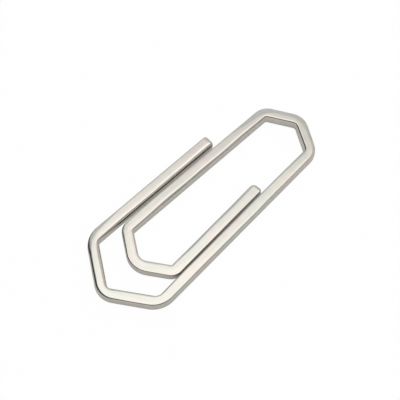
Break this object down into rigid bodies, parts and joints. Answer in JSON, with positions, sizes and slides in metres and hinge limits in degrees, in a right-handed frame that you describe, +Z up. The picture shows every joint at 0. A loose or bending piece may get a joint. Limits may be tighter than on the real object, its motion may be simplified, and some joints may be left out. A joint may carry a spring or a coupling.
{
  "type": "paper clip",
  "caption": "Large flat paper clip bent from square polished wire: a blunt-nosed outer loop, a springy head and a nested tongue that lifts to grip sheets of paper.",
  "frame": {"origin": "under the middle of the clip, on the surface it lies on", "axes": "+X along the clip from the nose to the head, +Y across it towards the outer free leg, +Z up out of the clip's plane"},
  "size_m": [0.058, 0.022, 0.0025],
  "materials": {
    "polished_wire": "polished nickel plate over drawn square steel wire"
  },
  "bodies": {
    "outer_loop": {"nose_left_bend": "polished_wire", "nose_left_slant": "polished_wire", "nose_tip_bend": "polished_wire", "nose_right_slant": "polished_wire", "nose_right_bend": "polished_wire", "long_leg": "polished_wire", "head_right_bend": "polished_wire", "head_right_slant": "polished_wire", "head_tip_bend": "polished_wire", "head_left_slant": "polished_wire", "head_left_bend": "polished_wire"},
    "outer_leg": {"outer_free_leg": "polished_wire"},
    "tongue": {"tongue_long_leg": "polished_wire", "tongue_left_bend": "polished_wire", "tongue_left_slant": "polished_wire", "tongue_tip_bend": "polished_wire", "tongue_right_slant": "polished_wire", "tongue_right_bend": "polished_wire"},
    "tongue_leg": {"tongue_free_leg": "polished_wire"}
  },
  "joints": [
    {"name": "tongue_lift", "type": "hinge", "parent": "outer_loop", "child": "tongue", "pos_m": [0.02293, 0.00516, 0.00125], "axis": [0, 1, 0], "range_deg": [0, 10], "stiffness_Nm_per_rad": 10.7, "deforming": ["head_left_bend"]},
    {"name": "outer_leg_flex", "type": "hinge", "parent": "outer_loop", "child": "outer_leg", "pos_m": [-0.01936, 0.00979, 0.00125], "axis": [0, -1, 0], "range_deg": [0, 4.5], "stiffness_Nm_per_rad": 19.1, "deforming": ["nose_left_bend"]},
    {"name": "tongue_leg_flex", "type": "hinge", "parent": "tongue", "child": "tongue_leg", "pos_m": [-0.01415, -0.00695, 0.00125], "axis": [0, -1, 0], "range_deg": [0, 3.2], "stiffness_Nm_per_rad": 28.8, "deforming": ["tongue_right_bend"]}
  ]
}
